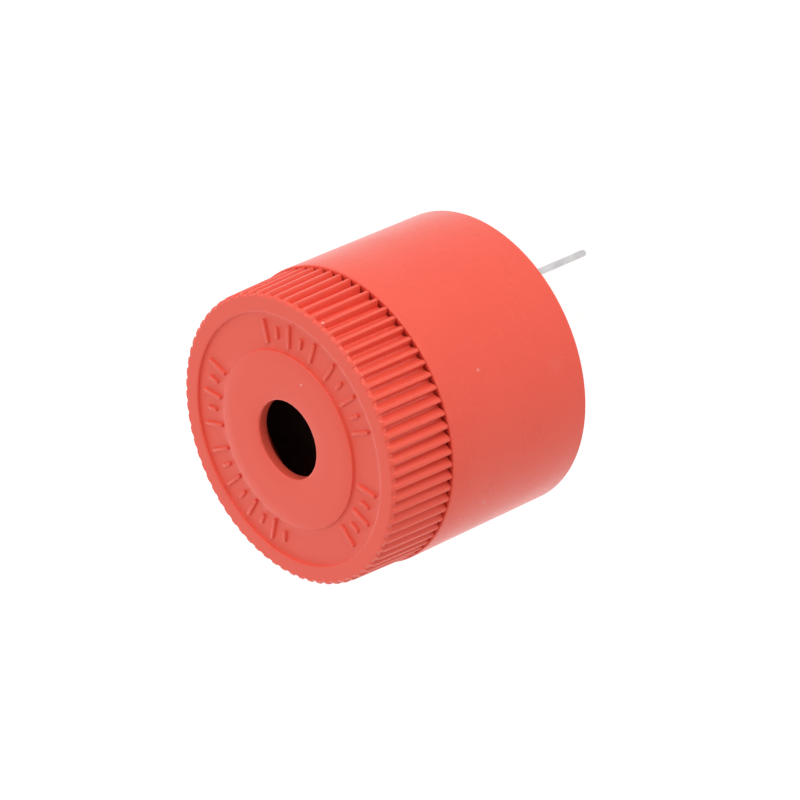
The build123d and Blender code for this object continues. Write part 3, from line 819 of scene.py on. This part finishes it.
def wound_copper_painted_shade(name):
    """Enamelled copper turns: fine rings up the winding, by a sine of the height, with painted
    shade that darkens the copper in the hollows between the turns.
    """
    made, tree, shader, place = new_material(name, Metallic=0.9, Coat_Weight=0.5)
    up = add_node(tree, "ShaderNodeSeparateXYZ", {0: place}).outputs["Z"]
    wire_pitch = 0.22 * MM
    wave = maths(tree, "SINE", maths(tree, "MULTIPLY", up, 2 * math.pi / wire_pitch))
    turns = map_range(tree, wave, -1.0, 1.0)
    # Painted shade: the copper is darker where the turns dip, in the hollows between them.
    tree.links.new(
        mix_colour(tree, turns, (0.20, 0.05, 0.015, 1.0), (0.62, 0.22, 0.08, 1.0)),
        shader.inputs["Base Color"],
    )
    tree.links.new(map_range(tree, turns, 0.0, 1.0, 0.5, 0.28), shader.inputs["Roughness"])
    set_bump(tree, shader, turns, 0.8, 0.00008)
    return made


def board_laminate(name):
    """Green masked laminate: the glass weave shows as a faint grid under the mask."""
    made, tree, shader, place = new_material(name, Coat_Weight=0.4, Coat_Roughness=0.2)
    parts = add_node(tree, "ShaderNodeSeparateXYZ", {0: place})
    thread_pitch = 0.5 * MM
    turns = 2 * math.pi / thread_pitch
    waves = [
        maths(tree, "SINE", maths(tree, "MULTIPLY", parts.outputs[axis], turns))
        for axis in ("X", "Y")
    ]
    weave = map_range(tree, maths(tree, "MULTIPLY", *waves), -1.0, 1.0)
    tone = effect(tree, "grain", Place=place, Flow_scale=400.0)["Tone"]
    green = mix_colour(tree, weave, (0.020, 0.150, 0.055, 1.0), (0.035, 0.210, 0.080, 1.0))
    green = mix_colour(
        tree, maths(tree, "MULTIPLY", tone, 0.4), green, (0.050, 0.260, 0.100, 1.0)
    )
    tree.links.new(green, shader.inputs["Base Color"])
    tree.links.new(map_range(tree, weave, 0.0, 1.0, 0.5, 0.4), shader.inputs["Roughness"])
    set_bump(tree, shader, weave, 0.15, 0.00002)
    return made


def diode_glass(name):
    """Amber glass with a dark ring at the cathode end, by the place along the body."""
    made, tree, shader, place = new_material(
        name, Transmission_Weight=0.6, IOR=1.5, Metallic=0.0
    )
    along = add_node(tree, "ShaderNodeSeparateXYZ", {0: place}).outputs["X"]
    off = maths(tree, "ABSOLUTE", maths(tree, "SUBTRACT", along, 5.8 * MM))
    ring = map_range(tree, off, 0.35 * MM, 0.28 * MM)
    tone = effect(tree, "grain", Place=place, Flow_scale=900.0)["Tone"]
    amber = mix_colour(tree, tone, (0.55, 0.20, 0.06, 1.0), (0.75, 0.33, 0.12, 1.0))
    tree.links.new(
        mix_colour(tree, ring, amber, (0.01, 0.01, 0.01, 1.0)), shader.inputs["Base Color"]
    )
    tree.links.new(map_range(tree, tone, 0.0, 1.0, 0.12, 0.06), shader.inputs["Roughness"])
    return made


def plate_with_painted_shade(name, colour):
    """A near-black coat over metal that paints the shade seen through the port, with faint
    polishing rings about the axis.
    """
    made, tree, shader, place = new_material(name, Metallic=0.0, Specular_IOR_Level=0.25)
    parts = add_node(tree, "ShaderNodeSeparateXYZ", {0: place})
    radius = maths(
        tree, "SQRT",
        maths(
            tree, "ADD",
            maths(tree, "MULTIPLY", parts.outputs["X"], parts.outputs["X"]),
            maths(tree, "MULTIPLY", parts.outputs["Y"], parts.outputs["Y"]),
        ),
    )
    ring_pitch = 0.35 * MM
    rings = map_range(
        tree, maths(tree, "SINE", maths(tree, "MULTIPLY", radius, 2 * math.pi / ring_pitch)),
        -1.0, 1.0,
    )
    tone = effect(tree, "cloud", Place=place)["Tone"]
    pale = tuple(channel * 1.6 for channel in colour)
    tree.links.new(mix_colour(tree, tone, rgba(colour), rgba(pale)), shader.inputs["Base Color"])
    tree.links.new(map_range(tree, rings, 0.0, 1.0, 0.5, 0.42), shader.inputs["Roughness"])
    set_bump(tree, shader, rings, 0.1, 0.00001)
    return made


def give(node_name, material):
    """Gives one node of the frame its finish."""
    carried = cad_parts[node_name]
    if not carried.material_slots:
        carried.data.materials.append(material)
    for material_slot in carried.material_slots:
        material_slot.material = material


def dress(piece, material, slot, *nodes):
    """Finishes a new piece: its material, its body and the nodes that it stands for; the slot is
    not used.
    """
    piece.data.materials.clear()
    piece.data.materials.append(material)
    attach(piece, ROOT)
    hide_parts(*nodes)


class SOUNDER_OT_cap(bpy.types.Operator):
    """Build the ribbed front cap with its face, ticks and sound port"""

    bl_idname = "sounder.cap"
    bl_label = "Front Cap"

    def execute(self, context):
        scene = context.scene
        points, faces = cap_mesh(scene.sounder_cap, scene.sounder_housing)
        piece = mesh_piece("cap_shell", points, faces)
        plastic = red_plastic(
            "Red plastic, cap", scene.sounder_colours, CAP_MARKS, CAP_ROUGHNESS, CAP_GLOSS
        )
        dress(piece, plastic, "red_plastic", "front_cap")
        return {"FINISHED"}


class SOUNDER_OT_housing(bpy.types.Operator):
    """Build the plain rear housing with its pin holes and polarity mark"""

    bl_idname = "sounder.housing"
    bl_label = "Rear Housing"

    def execute(self, context):
        scene = context.scene
        points, faces = lathe(housing_profile(scene.sounder_housing), 360)
        piece = mesh_piece("housing_shell", points, faces)
        wall = scene.sounder_housing.back_wall
        turn = np.radians(np.arange(48) * 7.5)
        circle = SEAL_RADIUS * np.stack([np.cos(turn), np.sin(turn)], axis=-1)
        tools = [
            cutter("hole", *prism(circle + (side * PIN_OFFSET, 0), -wall, 2 * wall))
            for side in (-1, 1)
        ]
        arm, half = PLUS_ARM, PLUS_HALF_WIDTH
        corners = np.array([(arm, -half), (arm, half), (half, half)])
        quarter_turns = [np.array([[c, -s], [s, c]]) for c, s in ((1, 0), (0, 1), (-1, 0), (0, -1))]
        plus = np.vstack([corners @ quarter.T for quarter in quarter_turns])
        tools.append(cutter("plus", *prism(plus + (PLUS_RADIUS, 0), -PLUS_DEPTH, PLUS_DEPTH)))
        take_out(piece, tools)
        plastic = red_plastic(
            "Red plastic, housing", scene.sounder_colours, HOUSING_MARKS, HOUSING_ROUGHNESS,
            HOUSING_GLOSS,
        )
        dress(piece, plastic, "red_plastic", "rear_housing")
        return {"FINISHED"}


class SOUNDER_OT_pins(bpy.types.Operator):
    """Build the two tinned pins and finish their seals"""

    bl_idname = "sounder.pins"
    bl_label = "Pins"

    def execute(self, context):
        metal = tinned_metal("Tinned wire", tuple(context.scene.sounder_colours.tin))
        low, high, radius = float(PIN_LOW[2]), float(PIN_HIGH[2]), PIN_RADIUS
        rounding = 0.2 * MM
        profile = np.vstack([
            [(0, low)],
            arc((radius - rounding, low + rounding), rounding, -90, 0, 6),
            [(radius, low / 2), (radius, 0), (PIN_SHANK_RADIUS, 0), (PIN_SHANK_RADIUS, high)],
            [(0, high)],
        ])
        for name, side in (("pin_positive", 1), ("pin_negative", -1)):
            points, faces = lathe(profile, 48)
            points = points + (side * PIN_OFFSET, 0, 0)
            dress(mesh_piece(name + "_wire", points, faces), metal, "tinned_wire", name)
        give("pin_seals", coated("Black epoxy", (0.03, 0.03, 0.03), 0.25, strength=0.5))
        return {"FINISHED"}


class SOUNDER_OT_piezo(bpy.types.Operator):
    """Finish the piezo disc, its bond, its solder dots and its wires"""

    bl_idname = "sounder.piezo"
    bl_label = "Piezo Disc"

    def execute(self, context):
        # Painted shade: the plate's near-black coat stands in for the shade inside the port.
        give("piezo_plate", plate_with_painted_shade("Painted plate shade", context.scene.sounder_colours.plate_shade))
        give("piezo_ceramic", coated("Piezo ceramic", (0.62, 0.58, 0.48), 0.75, 4000.0))
        silver = tinned_metal("Printed silver", (0.78, 0.77, 0.74), 0.5)
        give("main_electrode", silver)
        give("feedback_electrode", silver)
        give("bond_ring", coated("Silicone", (0.80, 0.80, 0.78), 0.5, 1500.0, 0.93))
        give("piezo_solder", tinned_metal("Solder", (0.66, 0.67, 0.69), 0.25))
        give("main_wire", coated("Red insulation", (0.60, 0.03, 0.02), 0.35))
        give("feedback_wire", coated("Blue insulation", (0.03, 0.10, 0.50), 0.35))
        give("ground_wire", coated("Black insulation", (0.02, 0.02, 0.02), 0.35))
        return {"FINISHED"}


class SOUNDER_OT_board(bpy.types.Operator):
    """Finish the circuit board and the parts on it"""

    bl_idname = "sounder.board"
    bl_label = "Circuit Board"

    def execute(self, context):
        give("circuit_board", board_laminate("Board laminate"))
        solder = tinned_metal("Board solder", (0.66, 0.67, 0.69), 0.25)
        leads = tinned_metal("Component leads", (0.72, 0.72, 0.72), 0.3)
        give("board_solder", solder)
        resistor = banded_resistor("Resistor coat")
        for number in (1, 2, 3):
            give(f"resistor_{number}_body", resistor)
            give(f"resistor_{number}_leads", leads)
        give("diode_body", diode_glass("Diode glass"))
        give("transistor_body", coated("Black moulding", (0.03, 0.03, 0.03), 0.55, 3500.0))
        give("choke_core", coated("Ferrite", (0.06, 0.06, 0.06), 0.7, 3000.0))
        give("choke_winding", wound_copper_painted_shade("Copper winding, painted shade between turns"))
        give("capacitor_body", coated("Capacitor dip", (0.70, 0.32, 0.06), 0.3, 1200.0))
        for name in ("diode_leads", "transistor_leads", "choke_leads", "capacitor_leads"):
            give(name, leads)
        return {"FINISHED"}


FLOOR_SIZE = 1.2
FLOOR_GAP = 0.1 * MM
FLOOR_GLOW = 0.93
FLOOR_SHARE = 0.16
FILL = 0.50
# Each light: name, direction in the picture (right, up, towards the camera), distance, size, watts
LIGHTS = (
    ("overhead", (0.20, 0.70, 0.70), 0.45, 0.40, 1.45),
    ("overhead_wide", (0.10, 0.90, 0.25), 0.45, 0.60, 0.40),
    ("overhead_rear", (0.35, 0.90, 0.05), 0.45, 0.40, 0.26),
    ("front_right", (0.50, -0.05, 0.85), 0.50, 0.30, 0.12),
    ("front_left", (-0.90, 0.10, 0.45), 0.45, 0.40, 0.70),
    ("table", (0.0, -0.888, -0.30), 0.45, 0.60, 1.22),
    ("table_right", (0.70, -0.65, -0.30), 0.45, 0.40, 0.31),
    ("edge_low", (0.45, -0.48, -0.75), 0.45, 0.35, 0.11),
    ("edge_high", (-0.05, 0.42, -0.90), 0.45, 0.35, 0.15),
    ("far_side", (-0.562, -0.251, -0.788), 0.45, 0.40, 0.80),
    ("behind", (0.721, 0.318, -0.616), 0.45, 0.40, 0.60),
)


def picture_axes(view):
    """The camera's right, up and back directions, from its azimuth, elevation and roll."""
    turn = Euler((math.pi / 2 - view.elevation, 0.0, view.azimuth), "XYZ").to_matrix()
    turn = turn @ Matrix.Rotation(view.roll, 3, "Z")
    return turn.col[0].copy(), turn.col[1].copy(), turn.col[2].copy()


def white_to_the_eye(tree):
    """1 for camera, mirror and glass rays, 0 for the rays that light the object."""
    path = tree.nodes.new("ShaderNodeLightPath")
    seen = maths(
        tree, "ADD", path.outputs["Is Camera Ray"], path.outputs["Is Glossy Ray"], clamp=True
    )
    return maths(tree, "ADD", seen, path.outputs["Is Transmission Ray"], clamp=True)


def build_world(scene):
    """A white surround that the eye sees at full strength and that lights the object softly."""
    world = bpy.data.worlds.new("White surround")
    world.use_nodes = True
    tree = world.node_tree
    tree.nodes.clear()
    seen = white_to_the_eye(tree)
    fill = add_node(tree, "ShaderNodeBackground", {"Color": (1, 1, 1, 1), "Strength": FILL})
    white = add_node(tree, "ShaderNodeBackground", {"Color": (1, 1, 1, 1), "Strength": 1.0})
    mixed = add_node(
        tree, "ShaderNodeMixShader", {0: seen, 1: fill.outputs[0], 2: white.outputs[0]}
    )
    add_node(tree, "ShaderNodeOutputWorld", {"Surface": mixed.outputs[0]})
    scene.world = world


def floor_material():
    """White floor: it glows to the eye, keeps a share of real shading for the shadow, and is
    clear from below."""
    made = bpy.data.materials.new("White floor")
    made.use_nodes = True
    tree = made.node_tree
    tree.nodes.clear()
    plain = add_node(tree, "ShaderNodeBsdfDiffuse", {"Color": (0.9, 0.9, 0.9, 1.0)})
    glow = add_node(tree, "ShaderNodeEmission", {"Color": (1, 1, 1, 1), "Strength": FLOOR_GLOW})
    weak = add_node(
        tree, "ShaderNodeBsdfDiffuse",
        {"Color": (FLOOR_SHARE, FLOOR_SHARE, FLOOR_SHARE, 1.0)},
    )
    shown = add_node(tree, "ShaderNodeAddShader", {0: glow.outputs[0], 1: weak.outputs[0]})
    top = add_node(
        tree, "ShaderNodeMixShader",
        {0: white_to_the_eye(tree), 1: plain.outputs[0], 2: shown.outputs[0]},
    )
    clear = tree.nodes.new("ShaderNodeBsdfTransparent")
    side = tree.nodes.new("ShaderNodeNewGeometry").outputs["Backfacing"]
    both = add_node(
        tree, "ShaderNodeMixShader", {0: side, 1: top.outputs[0], 2: clear.outputs[0]}
    )
    add_node(tree, "ShaderNodeOutputMaterial", {"Surface": both.outputs[0]})
    return made


class SOUNDER_OT_stage(bpy.types.Operator):
    """Build the white floor, the soft lights and the camera"""

    bl_idname = "sounder.stage"
    bl_label = "Stage"

    def execute(self, context):
        scene = context.scene
        view = scene.sounder_view
        half = FLOOR_SIZE / 2
        level = float(PIN_LOW[2]) - FLOOR_GAP
        mesh = bpy.data.meshes.new("floor")
        corners = ((-half, -half), (half, -half), (half, half), (-half, half))
        mesh.from_pydata([(x, y, level) for x, y in corners], [], [(0, 1, 2, 3)])
        floor = bpy.data.objects.new("floor", mesh)
        mesh.materials.append(floor_material())
        scene.collection.objects.link(floor)
        build_world(scene)
        right, up, back = picture_axes(view)
        middle = Vector((0.0, 0.0, BODY_LENGTH / 2))
        for name, (x, y, z), distance, size, power in LIGHTS:
            lamp = bpy.data.lights.new(name, "AREA")
            lamp.shape = "DISK"
            lamp.size = size
            lamp.energy = power
            holder = bpy.data.objects.new(name, lamp)
            direction = (right * x + up * y + back * z).normalized()
            holder.location = middle + direction * distance
            holder.rotation_euler = direction.to_track_quat("Z", "Y").to_euler()
            scene.collection.objects.link(holder)
        camera = bpy.data.cameras.new("camera")
        camera.lens = view.focal_length
        camera.sensor_width = 36.0
        camera.clip_start = 0.01
        camera.clip_end = 10.0
        eye = bpy.data.objects.new("camera", camera)
        eye.location = Vector(view.aim) + back * view.distance
        eye.rotation_euler = Matrix((right, up, back)).transposed().to_euler()
        scene.collection.objects.link(eye)
        scene.camera = eye
        scene.view_settings.view_transform = "Standard"
        return {"FINISHED"}


class SOUNDER_PT_panel(bpy.types.Panel):
    """The sounder's pieces, in the order in which they are built"""

    bl_label = "Round Sounder"
    bl_idname = "SOUNDER_PT_panel"
    bl_space_type = "VIEW_3D"
    bl_region_type = "UI"
    bl_category = "Sounder"

    def draw(self, context):
        column = self.layout.column()
        for operator in OPERATORS:
            column.operator(operator.bl_idname)
        for group in (
            context.scene.sounder_cap, context.scene.sounder_housing,
            context.scene.sounder_colours, context.scene.sounder_view,
        ):
            box = self.layout.box()
            for name in group.__annotations__:
                box.prop(group, name)


PROPERTY_GROUPS = (
    ("sounder_cap", SounderCapSizes),
    ("sounder_housing", SounderHousingSizes),
    ("sounder_colours", SounderColours),
    ("sounder_view", SounderView),
)
OPERATORS = (
    SOUNDER_OT_cap, SOUNDER_OT_housing, SOUNDER_OT_pins, SOUNDER_OT_piezo, SOUNDER_OT_board,
    SOUNDER_OT_stage,
)


def register():
    for name, group in PROPERTY_GROUPS:
        bpy.utils.register_class(group)
        setattr(bpy.types.Scene, name, PointerProperty(type=group))
    for operator in OPERATORS:
        bpy.utils.register_class(operator)
    bpy.utils.register_class(SOUNDER_PT_panel)


def unregister():
    bpy.utils.unregister_class(SOUNDER_PT_panel)
    for operator in reversed(OPERATORS):
        bpy.utils.unregister_class(operator)
    for name, group in reversed(PROPERTY_GROUPS):
        delattr(bpy.types.Scene, name)
        bpy.utils.unregister_class(group)


def main():
    """Registers the classes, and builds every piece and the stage."""
    register()
    bpy.ops.sounder.cap()
    bpy.ops.sounder.housing()
    bpy.ops.sounder.pins()
    bpy.ops.sounder.piezo()
    bpy.ops.sounder.board()
    bpy.ops.sounder.stage()


if __name__ == "__main__":
    main()
